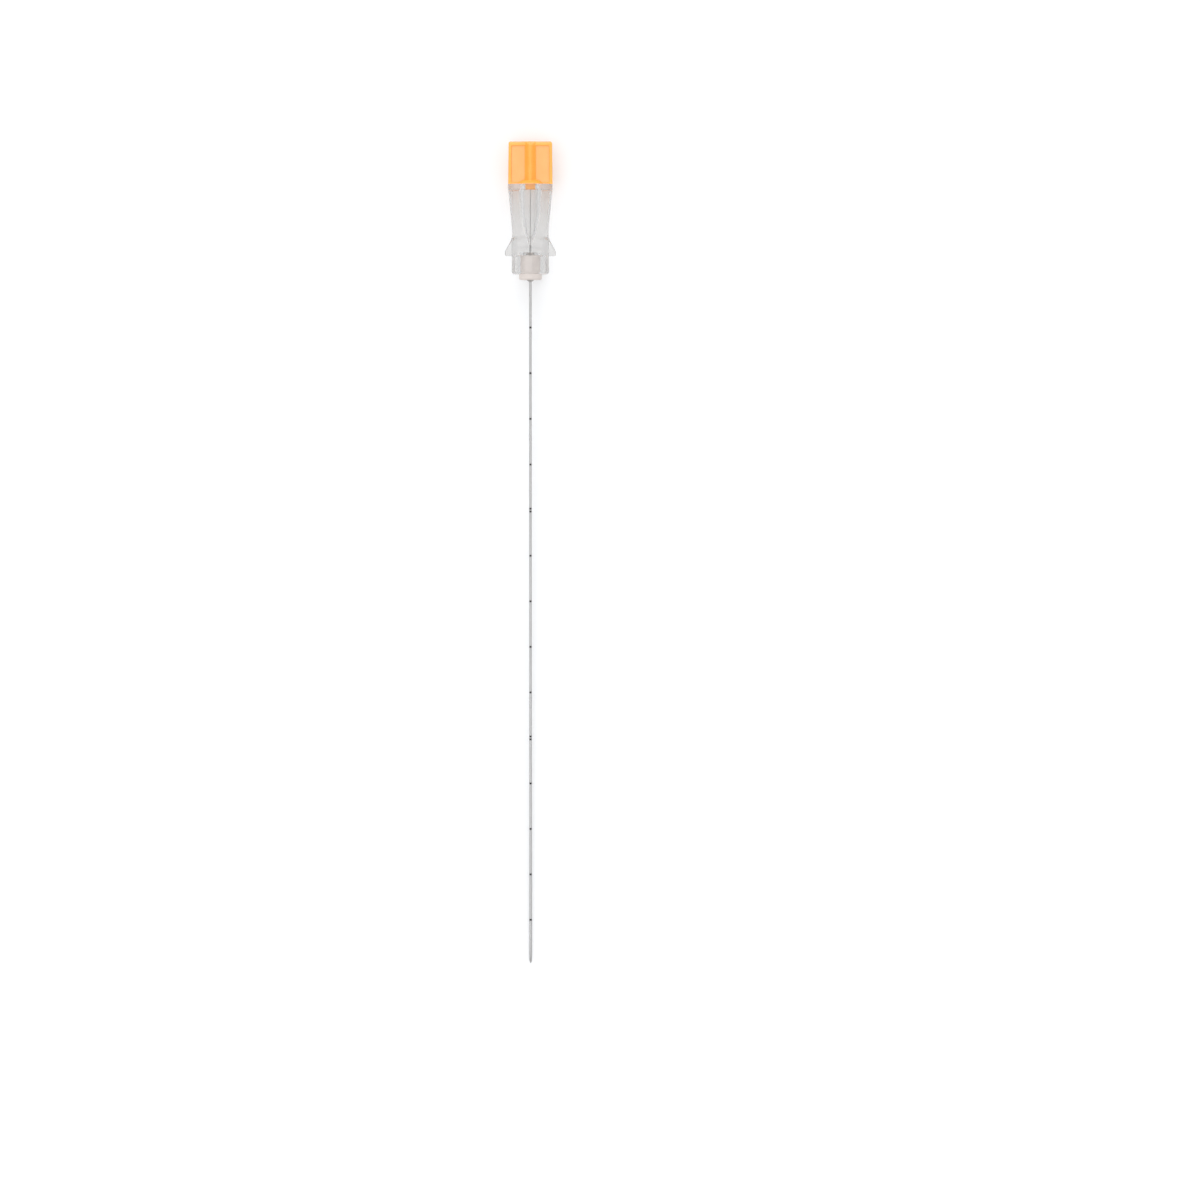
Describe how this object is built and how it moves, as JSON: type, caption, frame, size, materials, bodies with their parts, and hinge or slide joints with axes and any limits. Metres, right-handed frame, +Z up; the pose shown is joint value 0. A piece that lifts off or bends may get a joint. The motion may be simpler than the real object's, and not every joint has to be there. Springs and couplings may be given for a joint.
{
  "type": "spinal needle",
  "caption": "Long fine needle with dark depth rings, a clear winged hub with a conical socket, and an orange cap whose solid wire slides out of the hollow tube.",
  "frame": {"origin": "middle of the needle's box, on the surface that it lies on", "axes": "+Z up; +Y from the point towards the cap; X across the wings. The needle's own axis runs in the YZ plane and climbs 1.45 degrees from the point to the cap, as it lies on the hub's foot and the point; the bevel faces up"},
  "size_m": [0.011, 0.1802, 0.0084],
  "materials": {
    "cannula_steel": "drawn and polished",
    "mark_grey": "matt dark grey",
    "wire_steel": "drawn and polished",
    "holder_ivory": "moulded ivory",
    "adhesive_clear": "clear",
    "adhesive_grey": "glossy",
    "hub_clear": "clear moulded",
    "cap_orange": "satin moulded"
  },
  "bodies": {
    "needle": {"hub": "hub_clear", "cannula_holder": "holder_ivory", "cannula": "cannula_steel", "depth_marks": "mark_grey", "adhesive_plug": "adhesive_clear", "adhesive_bead": "adhesive_grey"},
    "stylet": {"stylet_cap": "cap_orange", "stylet_wire": "wire_steel"}
  },
  "joints": [
    {"name": "stylet_slide", "type": "slide", "parent": "needle", "child": "stylet", "axis": [0, 0.9997, 0.0253], "range_m": [0, 0.1721]}
  ]
}
